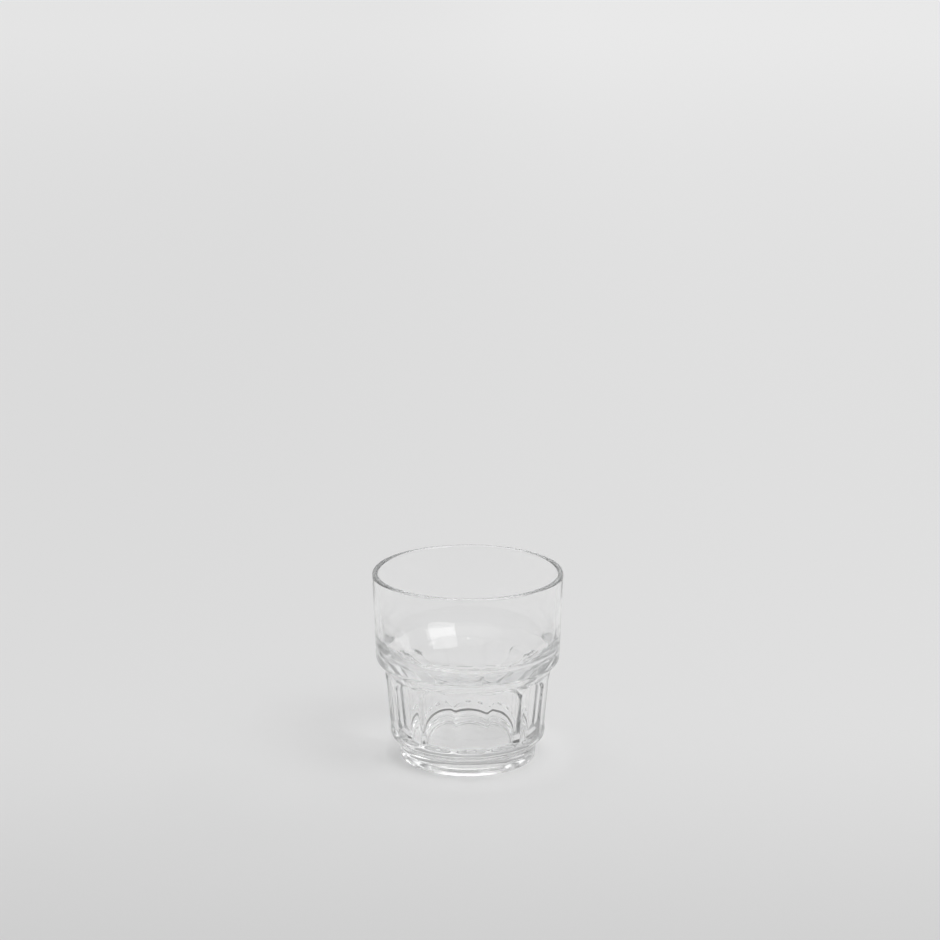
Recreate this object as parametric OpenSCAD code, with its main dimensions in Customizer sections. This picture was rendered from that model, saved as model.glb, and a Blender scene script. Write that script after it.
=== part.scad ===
// Stacking cortado glass, pressed in one piece.
// Millimetres, +Z up. The origin is the centre of the face that it rests on.

/* [Rim and upper band] */
// Outside diameter at the rim
rim_d = 75; // [72:0.5:80]
// Height from the resting face to the top of the rim
height = 75.5; // [70:0.5:82]
// Outside diameter just above the shoulder
band_d = 72.6; // [70.6:0.2:75]
// Thickness of the wall of the upper band
band_wall = 2.2; // [1.8:0.1:2.8]

/* [Shoulder] */
// Height of the outer edge of the shoulder
shoulder_h = 40.4; // [38:0.2:44]
// Rise of the slope below that edge
shoulder_rise = 4; // [3:0.2:6]
// Radius of the rounding of the outer edge
shoulder_round = 2.2; // [1:0.1:3]
// Radius of the hollow below the slope
shoulder_hollow = 3.2; // [1:0.1:4]

/* [Panelled body] */
// Outside diameter of the body below the shoulder
body_top_d = 65.8; // [64:0.2:67.6]
// Outside diameter of the body at the bead above the foot
body_low_d = 61; // [60:0.2:62.6]
// Number of panels around the body
panel_count = 14; // [12:1:16]
// Depth of a panel in its middle
panel_depth = 1; // [0.7:0.05:1.3]
// Height of the top of the panels
panel_top_h = 36.6; // [33:0.2:37.5]
// Plain height between the bead's lower edge and the panels
panel_gap = 1.6; // [1.4:0.1:4]
// Width of the ridge between two panels
panel_ridge = 0.8; // [0.6:0.1:1.6]
// Share of a panel's half width that its rounded upper corners take
panel_arch = 0.95; // [0.4:0.05:0.95]
// Turn of the first panel from the front
panel_turn = 2.4; // [-15:0.1:15]

/* [Foot] */
// Outside diameter of the foot on the resting face
foot_d = 53.8; // [52:0.2:55]
// Outside diameter of the foot below the bead
foot_top_d = 54.8; // [53:0.2:56.4]
// Height of the foot below the bead
foot_h = 6.4; // [5:0.2:7.4]
// Height of the lower edge of the bead
bead_h = 9; // [8.4:0.2:9.6]
// Radius of the rounding of the bead
bead_round = 1.4; // [0.6:0.1:1.8]
// Radius of the hollow between the bead and the foot
foot_hollow = 1.8; // [0.6:0.1:2.2]
// Radius of the lower edge of the foot
foot_edge = 0.6; // [0.3:0.1:1.2]
// Diameter of the hollow underneath
under_d = 42; // [36:0.5:46]
// Depth of the hollow underneath
under_depth = 1.8; // [0.8:0.1:2.6]

/* [Inside] */
// Height at which the inside starts to narrow
inner_bend_h = 46.9; // [45:0.1:49]
// Height at which the narrowing ends
inner_waist_h = 34.9; // [32:0.1:37]
// Inside diameter where the narrowing ends
inner_waist_d = 49.4; // [47:0.2:53]
// Inside diameter at the top of the floor's rounding
inner_low_d = 44.2; // [42:0.2:46.4]
// Height of the floor above the resting face
floor_h = 8.4; // [6.4:0.1:9.4]
// Radius of the rounding between the floor and the wall
floor_round = 2.5; // [2:0.5:9]
// Radius of the bend at which the narrowing starts
inner_bend_round = 13.5; // [6:0.5:16]
// Radius of the bend at which it ends
inner_waist_round = 5.5; // [3:0.5:8]

/* [Hidden] */
// Sides of a full circle
$fn = 128;
// Reach of a cut past the solid
overrun = 2;
// Straight steps along a rounding
round_steps = 8;
// Radii of the outside
rim_r = rim_d / 2;
band_r = band_d / 2;
body_top_r = body_top_d / 2;
body_low_r = body_low_d / 2;
foot_r = foot_d / 2;
foot_top_r = foot_top_d / 2;
under_r = under_d / 2;
// Radii of the inside
rim_inner_r = rim_r - band_wall;
bend_r = band_r - band_wall;
waist_r = inner_waist_d / 2;
inner_low_r = inner_low_d / 2;
// The lip is nearly a half round of the wall
lip_share = 0.46;
lip_r = lip_share * band_wall;
// Height of the foot of the shoulder's slope
slope_foot_h = shoulder_h - shoulder_rise;
// Height of the bottom of the panels
panel_low_h = bead_h + panel_gap;
// Angle between one panel and the next
panel_pitch = 360 / panel_count;
// Lean of the body's side, as radius over height
body_lean = (body_top_r - body_low_r) / (slope_foot_h - bead_h);

// Radius of the plain body at a height
function body_r(h) = body_low_r + body_lean * (h - bead_h);
// Distance of a panel's face from the axis at a height
function face_r(h) = body_r(h) - panel_depth;
// Half the width of a panel at a height
function half_panel(h) = body_r(h) * sin(panel_pitch / 2) - panel_ridge / 2;
// Unit vector from one point to another
function toward(a, b) = (b - a) / norm(b - a);
// Points of an arc of radius r that rounds corner b between a and c
function rounded(a, b, c, r) =
    let (u = toward(b, a), v = toward(b, c),
         half = acos(u * v) / 2,
         reach = r / tan(half),
         middle = b + (u + v) / norm(u + v) * r / sin(half),
         from = b + u * reach - middle,
         to = b + v * reach - middle,
         sweep = acos(from * to / (r * r)),
         side = sign(from[0] * to[1] - from[1] * to[0]))
    [for (i = [0 : round_steps])
        let (turn = side * sweep * i / round_steps)
        middle + [from[0] * cos(turn) - from[1] * sin(turn),
                  from[0] * sin(turn) + from[1] * cos(turn)]];
// Outline with each corner rounded: corners are [point, radius], radius 0 stays sharp
function outline(corners) =
    [for (i = [0 : len(corners) - 1])
        let (n = len(corners),
             before = corners[(i + n - 1) % n][0],
             here = corners[i][0],
             after = corners[(i + 1) % n][0],
             r = corners[i][1])
        each r > 0 ? rounded(before, here, after, r) : [here]];

// Half section of the glass, from the axis outward and up, over the lip and down the inside
half_section = outline([
    [[0, under_depth], 0],
    [[under_r - under_depth, under_depth], under_depth],
    [[under_r, 0], 0],
    [[foot_r, 0], foot_edge],
    [[foot_top_r, foot_h], foot_hollow],
    [[body_low_r, bead_h], bead_round],
    [[body_top_r, slope_foot_h], shoulder_hollow],
    [[band_r, shoulder_h], shoulder_round],
    [[rim_r, height], lip_r],
    [[rim_inner_r, height], lip_r],
    [[bend_r, inner_bend_h], inner_bend_round],
    [[waist_r, inner_waist_h], inner_waist_round],
    [[inner_low_r, floor_h], floor_round],
    [[0, floor_h], 0]]);

// Cut of one panel: all that lies outside the panel's flat face, below a top with round corners
module panel_cut() {
    half_top = half_panel(panel_top_h);
    half_low = half_panel(panel_low_h);
    corner_r = panel_arch * half_low;
    below = panel_low_h - overrun;
    above = panel_top_h + overrun;
    difference() {
        rotate([90, 0, 0])
            linear_extrude(height = rim_r)
                polygon(outline([
                    [[-half_low, panel_low_h], 0],
                    [[half_low, panel_low_h], 0],
                    [[half_top, panel_top_h], corner_r],
                    [[-half_top, panel_top_h], corner_r]]));
        rotate([90, 0, 90])
            linear_extrude(height = rim_d, center = true)
                polygon([[0, below], [-face_r(below), below], [-face_r(above), above], [0, above]]);
    }
}

// The whole glass
module tumbler() {
    color([0.86, 0.9, 0.89, 0.45])
        difference() {
            rotate_extrude() polygon(half_section);
            for (i = [0 : panel_count - 1])
                rotate([0, 0, panel_turn + i * panel_pitch]) panel_cut();
        }
}

tumbler();
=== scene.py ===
# Cortado glass: a stacking tumbler of clear pressed glass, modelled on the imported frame.
# Lengths are metres. The glass stands on z = 0 with its axis on z, and the viewer looks along +y.
import math

import bpy
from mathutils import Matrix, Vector


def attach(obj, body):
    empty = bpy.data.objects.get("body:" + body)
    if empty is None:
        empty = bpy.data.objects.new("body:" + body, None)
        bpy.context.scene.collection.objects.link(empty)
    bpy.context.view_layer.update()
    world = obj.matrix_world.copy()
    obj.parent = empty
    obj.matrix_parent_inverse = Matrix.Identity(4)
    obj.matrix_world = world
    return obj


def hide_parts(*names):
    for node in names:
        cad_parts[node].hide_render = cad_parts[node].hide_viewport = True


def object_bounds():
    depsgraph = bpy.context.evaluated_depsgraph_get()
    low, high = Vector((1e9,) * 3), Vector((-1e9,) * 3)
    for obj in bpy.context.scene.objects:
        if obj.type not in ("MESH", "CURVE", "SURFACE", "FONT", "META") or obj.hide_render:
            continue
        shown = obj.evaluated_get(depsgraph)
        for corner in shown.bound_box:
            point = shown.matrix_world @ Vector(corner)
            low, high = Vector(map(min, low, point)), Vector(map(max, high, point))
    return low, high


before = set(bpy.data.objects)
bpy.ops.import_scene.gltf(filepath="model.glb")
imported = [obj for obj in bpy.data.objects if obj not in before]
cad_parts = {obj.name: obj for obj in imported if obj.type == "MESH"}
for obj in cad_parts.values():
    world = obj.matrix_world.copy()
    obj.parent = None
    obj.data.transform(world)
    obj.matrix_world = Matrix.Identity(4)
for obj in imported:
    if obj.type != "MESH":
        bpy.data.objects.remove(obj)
CAD_LOW, CAD_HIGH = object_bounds()

bl_info = {
    "name": "Cortado glass",
    "version": (1, 0, 0),
    "blender": (4, 5, 0),
    "location": "3D View > Sidebar > Cortado glass",
    "description": "Models a stacking glass tumbler and the pale stage it stands on",
    "category": "Mesh",
}

# A millimetre, in metres
MM = 0.001
# Points closer than this are one point
NEAR = 1e-6
# Distance within which a place counts as on an edge
ON_EDGE = 0.01 * MM
# Share of a row by which an edge may be too long
ROW_SLACK = 0.01
# Rounding of the lip, as a share of the wall
LIP_SHARE = 0.46
# Eases the quarter circle of a panel's top, so that it doesn't end upright at the ridge
ARCH_SHARE = 0.95
# Longest rows of faces: at the tops and bottoms of the panels, and elsewhere
FINE_ROW = 0.35 * MM
PLAIN_ROW = 1.2 * MM
# Height of the fine rows at the bottom of the panels, in widths of a panel's edge
FINE_EDGES = 1.5
# Width of the band of narrow faces at each ridge, and the faces across it and across the rest of a panel
RIDGE_BAND = 3.2 * MM
RIDGE_STEPS = 8
PANEL_STEPS = 12
# Outward lean of the normal below which a vertex counts as on the inside
FACING_IN = 0.05
# Share of the waves' height that is left below the shoulder
LOW_WAVES = 0.25
# Heights between which the waves grow from that share, and between which they die out towards the rim
WAVES_GROW = (36 * MM, 44 * MM)
WAVES_END = (58 * MM, 68 * MM)
# Side of the square floor
FLOOR_SIDE = 16.0
# Painted shade near the viewer and at the left, and painted light far off, on the floor along an axis: start
# and end of the ramp in metres, then the shade at each
NEAR_PAINTED_SHADE = (-0.3, 0.05, 0.82, 1.0)
FAR_PAINTED_LIGHT = (0.3, 4.0, 1.0, 1.10)
ACROSS_PAINTED_SHADE = (-0.25, 0.25, 0.965, 1.01)
# Start and end of the ramps of the surroundings, along a direction of length 1
RISE_REACH = (0.1, 0.48)
DEPTH_REACH = (-0.3, 0.3)
ASIDE_REACH = (0.5, 0.95)
TOP_REACH = (0.7, 0.9)
# Places of the lamps, which only give their direction, the point that they aim at, and their spreads
KEY_PLACE = (1.0, -0.75, 1.6)
SIDE_PLACE = (2.0, 1.35, 1.02)
LAMP_TARGET = (0.0, 0.0, 0.03)
KEY_SPREAD = math.radians(34.0)
SIDE_SPREAD = math.radians(20.0)
# The camera, which looks a little down on the glass
CAMERA_PLACE = (0.0, -0.9008, 0.3494)
CAMERA_DOWN = math.radians(14.51)
CAMERA_LENS = 91.91
CAMERA_SENSOR = 36.0
CAMERA_SHIFT = 0.00234


class TumblerSizes(bpy.types.PropertyGroup):
    """Sizes of the glass"""

    height: bpy.props.FloatProperty(
        name="Height", description="Resting face to the top of the lip",
        default=CAD_HIGH.z, unit="LENGTH")
    rim_radius: bpy.props.FloatProperty(
        name="Rim radius", description="Outside radius of the band, carried up to the lip",
        default=37.5 * MM, unit="LENGTH")
    band_radius: bpy.props.FloatProperty(
        name="Band radius", description="Outside radius just above the shoulder",
        default=36.3 * MM, unit="LENGTH")
    band_wall: bpy.props.FloatProperty(
        name="Wall", description="Thickness of the plain upper band",
        default=2.2 * MM, unit="LENGTH")
    shoulder_height: bpy.props.FloatProperty(
        name="Shoulder height", description="Height of the outer edge of the shoulder",
        default=40.4 * MM, unit="LENGTH")
    body_top_radius: bpy.props.FloatProperty(
        name="Body top radius", description="Outside radius of the body under the shoulder",
        default=32.9 * MM, unit="LENGTH")
    body_top_height: bpy.props.FloatProperty(
        name="Body top height", description="Height at which the shoulder's slope starts",
        default=36.4 * MM, unit="LENGTH")
    bead_radius: bpy.props.FloatProperty(
        name="Bead radius", description="Outside radius of the bead above the foot",
        default=30.5 * MM, unit="LENGTH")
    bead_height: bpy.props.FloatProperty(
        name="Bead height", description="Height of the lower edge of the bead",
        default=9.0 * MM, unit="LENGTH")
    foot_top_radius: bpy.props.FloatProperty(
        name="Foot top radius", description="Outside radius of the foot under the bead",
        default=27.4 * MM, unit="LENGTH")
    foot_height: bpy.props.FloatProperty(
        name="Foot height", description="Height of the foot under the bead",
        default=6.4 * MM, unit="LENGTH")
    foot_radius: bpy.props.FloatProperty(
        name="Foot radius", description="Outside radius on the resting face",
        default=26.9 * MM, unit="LENGTH")
    under_radius: bpy.props.FloatProperty(
        name="Hollow radius", description="Radius of the hollow underneath",
        default=21.0 * MM, unit="LENGTH")
    under_depth: bpy.props.FloatProperty(
        name="Hollow depth", description="Depth of the hollow underneath",
        default=1.8 * MM, unit="LENGTH")
    bend_height: bpy.props.FloatProperty(
        name="Inner bend height", description="Height at which the inside starts to narrow",
        default=46.9 * MM, unit="LENGTH")
    waist_height: bpy.props.FloatProperty(
        name="Inner waist height", description="Height at which the narrowing ends",
        default=34.9 * MM, unit="LENGTH")
    waist_radius: bpy.props.FloatProperty(
        name="Inner waist radius", description="Inside radius where the narrowing ends",
        default=24.7 * MM, unit="LENGTH")
    inner_low_radius: bpy.props.FloatProperty(
        name="Inner low radius", description="Inside radius carried down to the floor",
        default=22.1 * MM, unit="LENGTH")
    floor_height: bpy.props.FloatProperty(
        name="Floor height", description="Height of the inside floor",
        default=8.4 * MM, unit="LENGTH")
    floor_rounding: bpy.props.FloatProperty(
        name="Floor rounding", description="Radius between the floor and the inside wall",
        default=2.5 * MM, unit="LENGTH")
    bend_rounding: bpy.props.FloatProperty(
        name="Bend rounding", description="Radius of the bend at which the inside starts to narrow",
        default=13.5 * MM, unit="LENGTH")
    waist_rounding: bpy.props.FloatProperty(
        name="Waist rounding", description="Radius of the bend at which the narrowing ends",
        default=5.5 * MM, unit="LENGTH")
    shoulder_rounding: bpy.props.FloatProperty(
        name="Shoulder rounding", description="Radius of the outer edge of the shoulder",
        default=2.2 * MM, unit="LENGTH")
    shoulder_hollow: bpy.props.FloatProperty(
        name="Shoulder hollow", description="Radius of the hollow under the shoulder's slope",
        default=3.2 * MM, unit="LENGTH")
    bead_rounding: bpy.props.FloatProperty(
        name="Bead rounding", description="Radius of the lower edge of the bead",
        default=1.4 * MM, unit="LENGTH")
    foot_hollow: bpy.props.FloatProperty(
        name="Foot hollow", description="Radius of the hollow between the bead and the foot",
        default=1.8 * MM, unit="LENGTH")
    foot_edge: bpy.props.FloatProperty(
        name="Foot edge", description="Radius of the lower edge of the foot",
        default=0.6 * MM, unit="LENGTH")
    under_edge: bpy.props.FloatProperty(
        name="Hollow edge", description="Radius between the resting face and the hollow underneath",
        default=0.8 * MM, unit="LENGTH")
    under_rounding: bpy.props.FloatProperty(
        name="Hollow rounding", description="Radius at the top of the hollow underneath",
        default=1.8 * MM, unit="LENGTH")


class PanelSizes(bpy.types.PropertyGroup):
    """Sizes of the pressed panels"""

    count: bpy.props.IntProperty(
        name="Panels", description="Panels round the body", default=14, min=3)
    turn: bpy.props.FloatProperty(
        name="Turn", description="Angle from the front to the middle of the first panel",
        default=math.radians(2.4), subtype="ANGLE")
    ridge_depth: bpy.props.FloatProperty(
        name="Ridge depth", description="Depth of a panel where it meets the next one",
        default=0.1 * MM, unit="LENGTH")
    middle_depth: bpy.props.FloatProperty(
        name="Middle depth", description="Depth in the middle of a panel",
        default=1.1 * MM, unit="LENGTH")
    top_height: bpy.props.FloatProperty(
        name="Top height", description="Height of the top of the panels",
        default=36.6 * MM, unit="LENGTH")
    low_height: bpy.props.FloatProperty(
        name="Low height", description="Height of the bottom of the panels",
        default=10.6 * MM, unit="LENGTH")
    corner_radius: bpy.props.FloatProperty(
        name="Corner radius", description="Radius of a panel's upper corners",
        default=7.0 * MM, unit="LENGTH")
    edge_width: bpy.props.FloatProperty(
        name="Edge width", description="Width over which a panel runs out at its top and bottom",
        default=2.2 * MM, unit="LENGTH")
    crest_height: bpy.props.FloatProperty(
        name="Crest height", description="Height of the fine crest along the ridge between two panels",
        default=0.04 * MM, unit="LENGTH")
    crest_width: bpy.props.FloatProperty(
        name="Crest width", description="Distance from the ridge at which the crest has nearly gone",
        default=0.7 * MM, unit="LENGTH")


class GlassFinish(bpy.types.PropertyGroup):
    """Finish of the glass"""

    colour: bpy.props.FloatVectorProperty(
        name="Colour", description="Tint of the clear glass",
        default=(1.0, 1.0, 1.0), size=3, subtype="COLOR", min=0.0, max=1.0)
    depth_colour: bpy.props.FloatVectorProperty(
        name="Depth colour", description="Tint that builds up with the thickness of the glass",
        default=(0.92, 0.93, 0.93), size=3, subtype="COLOR", min=0.0, max=1.0)
    depth_density: bpy.props.FloatProperty(
        name="Depth density", description="How fast the tint builds up, per metre",
        default=8.0, min=0.0)
    index: bpy.props.FloatProperty(
        name="Index", description="Refractive index", default=1.52, min=1.0)
    ripple: bpy.props.FloatProperty(
        name="Ripple", description="Height of the waves left by pressing on the inside wall",
        default=0.28 * MM, unit="LENGTH")
    ripple_size: bpy.props.FloatProperty(
        name="Ripple size", description="Length of those waves",
        default=9.0 * MM, unit="LENGTH")


class StudioSettings(bpy.types.PropertyGroup):
    """Stage, lamps and camera"""

    floor_colour: bpy.props.FloatVectorProperty(
        name="Floor", description="Colour of the floor",
        default=(0.80, 0.80, 0.80), size=3, subtype="COLOR", min=0.0, max=1.0)
    floor_gap: bpy.props.FloatProperty(
        name="Floor gap",
        description="Air between the floor and the resting face, so that they don't coincide",
        default=0.02 * MM, unit="LENGTH")
    low_light: bpy.props.FloatProperty(
        name="Horizon", description="Brightness of the surroundings near the horizon",
        default=0.11, min=0.0)
    high_light: bpy.props.FloatProperty(
        name="Upper walls", description="Brightness of the surroundings higher up",
        default=0.55, min=0.0)
    front_light: bpy.props.FloatProperty(
        name="Front", description="Share of that light behind the viewer",
        default=0.85, min=0.0)
    side_light: bpy.props.FloatProperty(
        name="Sides", description="Share of that light at the far left and right",
        default=0.9, min=0.0)
    top_light: bpy.props.FloatProperty(
        name="Top", description="Brightness of the soft light overhead",
        default=0.76, min=0.0)
    key_strength: bpy.props.FloatProperty(
        name="Key lamp", description="Strength of the lamp at the front right",
        default=0.66, min=0.0)
    side_strength: bpy.props.FloatProperty(
        name="Side lamp", description="Strength of the lamp at the back right",
        default=0.12, min=0.0)


def select_none():
    """Leaves object mode with nothing selected."""
    if bpy.context.object and bpy.context.object.mode != "OBJECT":
        bpy.ops.object.mode_set(mode="OBJECT")
    bpy.ops.object.select_all(action="DESELECT")


def pick(piece, points=(), edges=()):
    """In object mode, selects only the vertices at these points, or the edges between these pairs."""
    mesh = piece.data
    for group in (mesh.vertices, mesh.edges, mesh.polygons):
        group.foreach_set("select", [False] * len(group))
    for vertex in mesh.vertices:
        vertex.select = any((vertex.co - point).length < NEAR for point in points)
    for edge in mesh.edges:
        ends = [mesh.vertices[i] for i in edge.vertices]
        for pair in edges:
            if all(any((end.co - point).length < NEAR for point in pair) for end in ends):
                edge.select = True
                for end in ends:
                    end.select = True


def draw_chain(name, points):
    """A chain of edges through the points, extruded from one vertex."""
    select_none()
    bpy.ops.mesh.primitive_plane_add(size=MM)
    piece = bpy.context.object
    piece.name = name
    piece.data.name = name
    bpy.ops.object.mode_set(mode="EDIT")
    bpy.ops.mesh.select_mode(type="VERT")
    bpy.ops.mesh.merge(type="CENTER")
    bpy.ops.transform.translate(value=points[0])
    for here, there in zip(points, points[1:]):
        bpy.ops.mesh.extrude_region_move(TRANSFORM_OT_translate={"value": there - here})
    bpy.ops.object.mode_set(mode="OBJECT")
    return piece


def reach_of(before, corner, after, radius):
    """Distance from a corner to the ends of the arc that rounds it."""
    half = (before - corner).angle(after - corner) / 2
    return radius / math.tan(half)


def round_corner(piece, corner, reach, steps):
    """Rounds one corner of a chain by a vertex bevel."""
    pick(piece, points=[corner])
    bpy.ops.object.mode_set(mode="EDIT")
    bpy.ops.mesh.bevel(
        affect="VERTICES", offset_type="OFFSET", offset=reach, segments=steps, profile=0.5)
    bpy.ops.object.mode_set(mode="OBJECT")


def split_side(piece, places):
    """Cuts the edge of a chain that passes through each place, at that place."""
    for place in places:
        mesh = piece.data
        found = None
        for edge in mesh.edges:
            a, b = [mesh.vertices[i].co.copy() for i in edge.vertices]
            along = (b - a).normalized()
            reach = (place - a).dot(along)
            if 0 < reach < (b - a).length and (a + reach * along - place).length < ON_EDGE:
                found = (a, b)
        if found is None:
            raise RuntimeError("No edge of the half section passes through " + str(place))
        pick(piece, edges=[found])
        bpy.ops.object.mode_set(mode="EDIT")
        bpy.ops.mesh.select_mode(type="EDGE")
        bpy.ops.mesh.subdivide(number_cuts=1)
        bpy.ops.object.mode_set(mode="OBJECT")
        pick(piece, points=[(found[0] + found[1]) / 2])
        bpy.ops.object.mode_set(mode="EDIT")
        bpy.ops.mesh.select_mode(type="VERT")
        bpy.ops.transform.translate(value=place - (found[0] + found[1]) / 2)
        bpy.ops.object.mode_set(mode="OBJECT")


def divide_long_edges(piece, longest):
    """Cuts each edge of a chain into equal lengths, no longer than allowed at the height of its middle."""
    lengths = {}
    for edge in piece.data.edges:
        a, b = [piece.data.vertices[i].co.copy() for i in edge.vertices]
        cuts = math.ceil((b - a).length / longest((a + b) / 2) - ROW_SLACK) - 1
        if cuts > 0:
            lengths.setdefault(cuts, []).append((a, b))
    for cuts, pairs in lengths.items():
        pick(piece, edges=pairs)
        bpy.ops.object.mode_set(mode="EDIT")
        bpy.ops.mesh.select_mode(type="EDGE")
        bpy.ops.mesh.subdivide(number_cuts=cuts)
        bpy.ops.mesh.select_mode(type="VERT")
        bpy.ops.object.mode_set(mode="OBJECT")


def spin_round(piece, turns):
    """Turns a chain round the z axis by these angles and steps, then closes the seam and the poles."""
    bpy.ops.object.mode_set(mode="EDIT")
    bpy.ops.mesh.select_all(action="SELECT")
    for angle, steps in turns:
        bpy.ops.mesh.spin(steps=steps, angle=angle, center=(0, 0, 0), axis=(0, 0, 1))
    bpy.ops.mesh.select_all(action="SELECT")
    bpy.ops.mesh.remove_doubles(threshold=NEAR)
    bpy.ops.mesh.dissolve_degenerate(threshold=NEAR)
    bpy.ops.mesh.select_all(action="SELECT")
    bpy.ops.mesh.normals_make_consistent(inside=False)
    bpy.ops.object.mode_set(mode="OBJECT")


def smooth_step(value):
    """Eases from 0 to 1."""
    value = min(max(value, 0.0), 1.0)
    return value * value * (3 - 2 * value)


def displace(piece, group, weights, strength, texture=None):
    """Moves the vertices along their normals by strength times weight, and times the texture if given."""
    held = piece.vertex_groups.new(name=group)
    for index, weight in weights:
        held.add([index], weight, "REPLACE")
    bpy.context.view_layer.objects.active = piece
    bpy.ops.object.modifier_add(type="DISPLACE")
    modifier = piece.modifiers[-1]
    modifier.vertex_group = group
    modifier.mid_level = 0.0
    modifier.strength = strength
    if texture:
        modifier.texture = texture
        modifier.texture_coords = "LOCAL"
        modifier.mid_level = 0.5
    bpy.ops.object.modifier_apply(modifier=modifier.name)
    piece.vertex_groups.remove(piece.vertex_groups[group])


def panel_place(place, panels):
    """Where a point lies on its panel: its share of the way to the ridge, and its distance from the ridge."""
    pitch = math.tau / panels.count
    angle = math.atan2(place.x, -place.y) - panels.turn
    angle = (angle + pitch / 2) % pitch - pitch / 2
    radius = math.hypot(place.x, place.y)
    return abs(angle) / (pitch / 2), (pitch / 2 - abs(angle)) * radius


def panel_edge(place, panels):
    """1 within a panel, 0 outside, eased along the panel's top and bottom."""
    _, ridge = panel_place(place, panels)
    # The top of a panel drops along a quarter circle towards each ridge
    past = max(panels.corner_radius - ridge, 0.0)
    drop = panels.corner_radius - math.sqrt(panels.corner_radius ** 2 - past ** 2 * ARCH_SHARE)
    top = panels.top_height - drop
    edge = smooth_step((top - place.z) / panels.edge_width)
    return edge * smooth_step((place.z - panels.low_height) / panels.edge_width)


def panel_weight(place, panels):
    """Depth of the panels at a point of the body, from 0 to 1 of the depth in the middle."""
    share, _ = panel_place(place, panels)
    low = panels.ridge_depth / panels.middle_depth
    return panel_edge(place, panels) * (low + (1 - low) * (1 - share ** 2))


def crest_weight(place, panels):
    """Height of the crest at a point of the body, from 0 to 1."""
    _, ridge = panel_place(place, panels)
    return panel_edge(place, panels) * (1 - smooth_step(ridge / panels.crest_width))


def clear_glass(finish):
    """Clear fire-polished glass."""
    material = bpy.data.materials.new("clear_glass")
    material.use_nodes = True
    shader = material.node_tree.nodes["Principled BSDF"]
    shader.inputs["Base Color"].default_value = (*finish.colour, 1.0)
    shader.inputs["Roughness"].default_value = 0.0
    shader.inputs["Transmission Weight"].default_value = 1.0
    shader.inputs["IOR"].default_value = finish.index
    depth = material.node_tree.nodes.new("ShaderNodeVolumeAbsorption")
    depth.inputs["Color"].default_value = (*finish.depth_colour, 1.0)
    depth.inputs["Density"].default_value = finish.depth_density
    material.node_tree.links.new(
        depth.outputs["Volume"], material.node_tree.nodes["Material Output"].inputs["Volume"])
    return material


def half_section(sizes):
    """Corners of the half section, from the axis outward, up and over the lip, and down the inside.

    Each has a radius, a height, a rounding and the steps of the rounding.
    """
    lip = LIP_SHARE * sizes.band_wall
    return [
        (0.0, sizes.under_depth, 0.0, 0),
        (sizes.under_radius - sizes.under_depth, sizes.under_depth, sizes.under_rounding, 10),
        (sizes.under_radius, 0.0, sizes.under_edge, 10),
        (sizes.foot_radius, 0.0, sizes.foot_edge, 14),
        (sizes.foot_top_radius, sizes.foot_height, sizes.foot_hollow, 12),
        (sizes.bead_radius, sizes.bead_height, sizes.bead_rounding, 12),
        (sizes.body_top_radius, sizes.body_top_height, sizes.shoulder_hollow, 12),
        (sizes.band_radius, sizes.shoulder_height, sizes.shoulder_rounding, 12),
        (sizes.rim_radius, sizes.height, lip, 16),
        (sizes.rim_radius - sizes.band_wall, sizes.height, lip, 16),
        (sizes.band_radius - sizes.band_wall, sizes.bend_height, sizes.bend_rounding, 16),
        (sizes.waist_radius, sizes.waist_height, sizes.waist_rounding, 14),
        (sizes.inner_low_radius, sizes.floor_height, sizes.floor_rounding, 24),
        (0.0, sizes.floor_height, 0.0, 0),
    ]


def fine_heights(panels):
    """Heights between which the rows of faces on the body are plain, with fine rows below and above."""
    low = panels.low_height + FINE_EDGES * panels.edge_width
    high = panels.top_height - panels.corner_radius - panels.edge_width
    return low, high


def on_body(place, sizes):
    """Whether a point lies as far out as the outside of the body."""
    return math.hypot(place.x, place.y) > sizes.bead_radius - MM


def row_length(place, sizes, panels):
    """Longest row of faces at a point of the half section."""
    if on_body(place, sizes) and place.z < panels.top_height:
        low, high = fine_heights(panels)
        if place.z < low or place.z > high:
            return FINE_ROW
    return PLAIN_ROW


def press_panels(piece, sizes, panels):
    """Presses the panels into the body and raises the crests between them."""
    pressed = []
    raised = []
    for vertex in piece.data.vertices:
        place = vertex.co
        if panels.low_height < place.z < panels.top_height and on_body(place, sizes):
            pressed.append((vertex.index, panel_weight(place, panels)))
            raised.append((vertex.index, crest_weight(place, panels)))
    displace(piece, "panels", pressed, -panels.middle_depth)
    displace(piece, "crests", raised, panels.crest_height)


def wave_inside(piece, sizes, finish):
    """Gives the inside wall the slight waves that pressing leaves."""
    waves = bpy.data.textures.new("pressing_waves", "CLOUDS")
    waves.noise_scale = finish.ripple_size
    waves.noise_depth = 2
    grow_low, grow_high = WAVES_GROW
    end_low, end_high = WAVES_END
    weights = []
    for vertex in piece.data.vertices:
        across = Vector((vertex.co.x, vertex.co.y, 0.0)).normalized()
        inside = vertex.normal.dot(across) < FACING_IN
        if inside and vertex.co.z > sizes.floor_height - NEAR:
            grown = smooth_step((vertex.co.z - grow_low) / (grow_high - grow_low))
            left = smooth_step((end_high - vertex.co.z) / (end_high - end_low))
            weights.append((vertex.index, (LOW_WAVES + (1 - LOW_WAVES) * grown) * left))
    displace(piece, "waves", weights, finish.ripple, waves)


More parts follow.
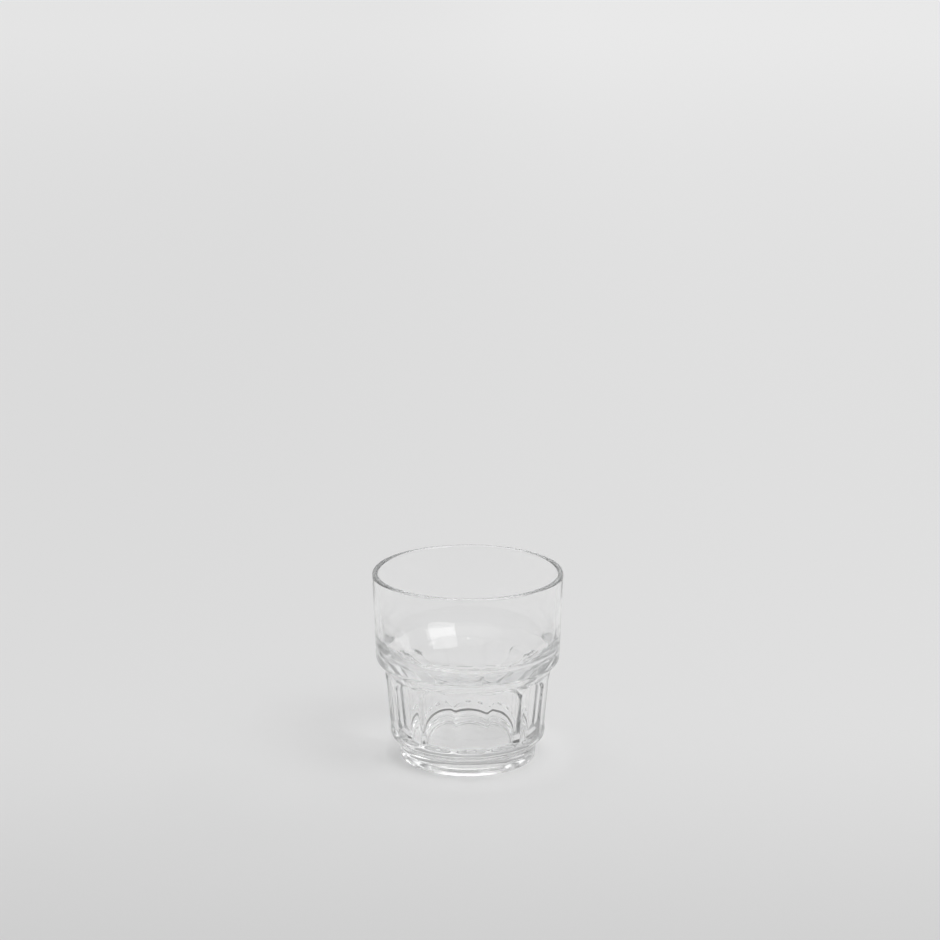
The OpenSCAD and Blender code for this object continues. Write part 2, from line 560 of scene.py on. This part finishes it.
class CORTADO_OT_tumbler(bpy.types.Operator):
    """Models the glass: its half section is drawn, rounded and spun, then the panels are pressed in"""

    bl_idname = "cortado.tumbler"
    bl_label = "Model the tumbler"
    bl_options = {"REGISTER", "UNDO"}

    def execute(self, context):
        sizes = context.scene.tumbler_sizes
        panels = context.scene.panel_sizes
        finish = context.scene.glass_finish
        corners = half_section(sizes)
        # The chain starts a little before a ridge, so that the narrow faces lie on both sides of it
        pitch = math.tau / panels.count
        fine = RIDGE_BAND / sizes.body_top_radius
        start = panels.turn + pitch / 2 - fine / 2
        outward = Vector((math.sin(start), -math.cos(start), 0.0))
        upward = Vector((0.0, 0.0, 1.0))
        points = [radius * outward + height * upward for radius, height, _, _ in corners]
        piece = draw_chain("tumbler_glass", points)
        for index, (_, _, rounding, steps) in enumerate(corners):
            if rounding > 0:
                before, corner, after = points[index - 1:index + 2]
                round_corner(piece, corner, reach_of(before, corner, after, rounding), steps)
        rise = sizes.body_top_height - sizes.bead_height
        lean = (sizes.body_top_radius - sizes.bead_radius) / rise
        places = []
        for height in fine_heights(panels):
            radius = sizes.bead_radius + lean * (height - sizes.bead_height)
            places.append(radius * outward + height * upward)
        split_side(piece, places)
        divide_long_edges(piece, lambda place: row_length(place, sizes, panels))
        spin_round(piece, [(fine, RIDGE_STEPS), (pitch - fine, PANEL_STEPS)] * panels.count)
        press_panels(piece, sizes, panels)
        wave_inside(piece, sizes, finish)
        bpy.ops.object.shade_smooth()
        piece.data.materials.append(clear_glass(finish))
        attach(piece, "root")
        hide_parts("tumbler")
        return {"FINISHED"}


def aim(item, target):
    """Turns a lamp or camera to look at a point."""
    item.rotation_euler = (Vector(target) - item.location).to_track_quat("-Z", "Y").to_euler()


def far_lamp(name, place, strength, spread):
    """A soft lamp so far off that it lights the whole floor evenly."""
    data = bpy.data.lights.new(name, "SUN")
    data.energy = strength
    data.angle = spread
    lamp = bpy.data.objects.new(name, data)
    bpy.context.scene.collection.objects.link(lamp)
    lamp.location = place
    aim(lamp, LAMP_TARGET)


def eased(tree, source, low, high, low_value, high_value):
    """A smooth ramp from one value to another as the source goes from low to high."""
    node = tree.nodes.new("ShaderNodeMapRange")
    node.interpolation_type = "SMOOTHSTEP"
    node.inputs["From Min"].default_value = low
    node.inputs["From Max"].default_value = high
    node.inputs["To Min"].default_value = low_value
    node.inputs["To Max"].default_value = high_value
    tree.links.new(source, node.inputs["Value"])
    return node.outputs["Result"]


def combine(tree, operation, first, second):
    """Two values joined by one operation."""
    node = tree.nodes.new("ShaderNodeMath")
    node.operation = operation
    tree.links.new(first, node.inputs[0])
    tree.links.new(second, node.inputs[1])
    return node.outputs["Value"]


def pale_floor(studio):
    """Matt floor with painted shade at the near left and painted light far off, in place of the falloff of
    light.
    """
    material = bpy.data.materials.new("pale_floor")
    material.use_nodes = True
    tree = material.node_tree
    place = tree.nodes.new("ShaderNodeTexCoord")
    parts = tree.nodes.new("ShaderNodeSeparateXYZ")
    tree.links.new(place.outputs["Object"], parts.inputs["Vector"])
    # These ramps paint shade near the viewer and at the left, and paint light far off, into the floor's
    # colour
    near = eased(tree, parts.outputs["Y"], *NEAR_PAINTED_SHADE)
    far = eased(tree, parts.outputs["Y"], *FAR_PAINTED_LIGHT)
    across = eased(tree, parts.outputs["X"], *ACROSS_PAINTED_SHADE)
    painted_light_and_shade = combine(tree, "MULTIPLY", combine(tree, "MULTIPLY", near, far), across)
    tint = tree.nodes.new("ShaderNodeVectorMath")
    tint.operation = "SCALE"
    tint.inputs[0].default_value = studio.floor_colour
    tree.links.new(painted_light_and_shade, tint.inputs["Scale"])
    shader = tree.nodes["Principled BSDF"]
    shader.inputs["Roughness"].default_value = 0.9
    shader.inputs["Specular IOR Level"].default_value = 0.0
    tree.links.new(tint.outputs["Vector"], shader.inputs["Base Color"])
    return material


def room_light(studio):
    """Surroundings that are dark near the horizon, paler higher up and bright overhead.

    Behind the viewer and at both sides they are a little dimmer.
    """
    world = bpy.data.worlds.new("surroundings")
    world.use_nodes = True
    tree = world.node_tree
    place = tree.nodes.new("ShaderNodeTexCoord")
    parts = tree.nodes.new("ShaderNodeSeparateXYZ")
    tree.links.new(place.outputs["Generated"], parts.inputs["Vector"])
    rising = eased(tree, parts.outputs["Z"], *RISE_REACH, studio.low_light, studio.high_light)
    depth = eased(tree, parts.outputs["Y"], *DEPTH_REACH, studio.front_light, 1.0)
    aside = tree.nodes.new("ShaderNodeMath")
    aside.operation = "ABSOLUTE"
    tree.links.new(parts.outputs["X"], aside.inputs[0])
    sides = eased(tree, aside.outputs["Value"], *ASIDE_REACH, 1.0, studio.side_light)
    walls = combine(tree, "MULTIPLY", rising, combine(tree, "MULTIPLY", depth, sides))
    top = eased(tree, parts.outputs["Z"], *TOP_REACH, 0.0, studio.top_light)
    light = combine(tree, "ADD", walls, top)
    background = tree.nodes["Background"]
    background.inputs["Color"].default_value = (1.0, 1.0, 1.0, 1.0)
    tree.links.new(light, background.inputs["Strength"])
    return world


class CORTADO_OT_stage(bpy.types.Operator):
    """Sets up the pale floor, the lamps, the surroundings and the camera"""

    bl_idname = "cortado.stage"
    bl_label = "Set the stage"
    bl_options = {"REGISTER", "UNDO"}

    def execute(self, context):
        scene = context.scene
        studio = scene.studio_settings
        select_none()
        bpy.ops.mesh.primitive_plane_add(size=FLOOR_SIDE, location=(0.0, 0.0, -studio.floor_gap))
        floor = context.object
        floor.name = "stage_floor"
        floor.data.materials.append(pale_floor(studio))
        far_lamp("key_lamp", KEY_PLACE, studio.key_strength, KEY_SPREAD)
        far_lamp("side_lamp", SIDE_PLACE, studio.side_strength, SIDE_SPREAD)
        scene.world = room_light(studio)
        data = bpy.data.cameras.new("camera")
        data.sensor_width = CAMERA_SENSOR
        data.lens = CAMERA_LENS
        data.shift_x = CAMERA_SHIFT
        camera = bpy.data.objects.new("camera", data)
        scene.collection.objects.link(camera)
        camera.location = CAMERA_PLACE
        camera.rotation_euler = (math.pi / 2 - CAMERA_DOWN, 0.0, 0.0)
        scene.camera = camera
        scene.view_settings.view_transform = "Standard"
        # Light runs far along the inside of the wall before it comes out
        scene.cycles.max_bounces = 48
        scene.cycles.transmission_bounces = 48
        scene.cycles.glossy_bounces = 24
        scene.cycles.diffuse_bounces = 6
        scene.cycles.blur_glossy = 0.0
        return {"FINISHED"}


class CORTADO_PT_panel(bpy.types.Panel):
    """Sizes, finish and stage of the glass"""

    bl_label = "Cortado glass"
    bl_idname = "CORTADO_PT_panel"
    bl_space_type = "VIEW_3D"
    bl_region_type = "UI"
    bl_category = "Cortado glass"

    def draw(self, context):
        for name in SETTINGS:
            box = self.layout.box()
            group = getattr(context.scene, name)
            for key in group.__annotations__:
                box.prop(group, key)
        self.layout.operator("cortado.tumbler")
        self.layout.operator("cortado.stage")


SETTINGS = {
    "tumbler_sizes": TumblerSizes,
    "panel_sizes": PanelSizes,
    "glass_finish": GlassFinish,
    "studio_settings": StudioSettings,
}
CLASSES = (*SETTINGS.values(), CORTADO_OT_tumbler, CORTADO_OT_stage, CORTADO_PT_panel)


def register():
    for item in CLASSES:
        bpy.utils.register_class(item)
    for name, group in SETTINGS.items():
        setattr(bpy.types.Scene, name, bpy.props.PointerProperty(type=group))


def unregister():
    for name in SETTINGS:
        delattr(bpy.types.Scene, name)
    for item in reversed(CLASSES):
        bpy.utils.unregister_class(item)


def main():
    register()
    bpy.ops.cortado.tumbler()
    bpy.ops.cortado.stage()


if __name__ == "__main__":
    main()
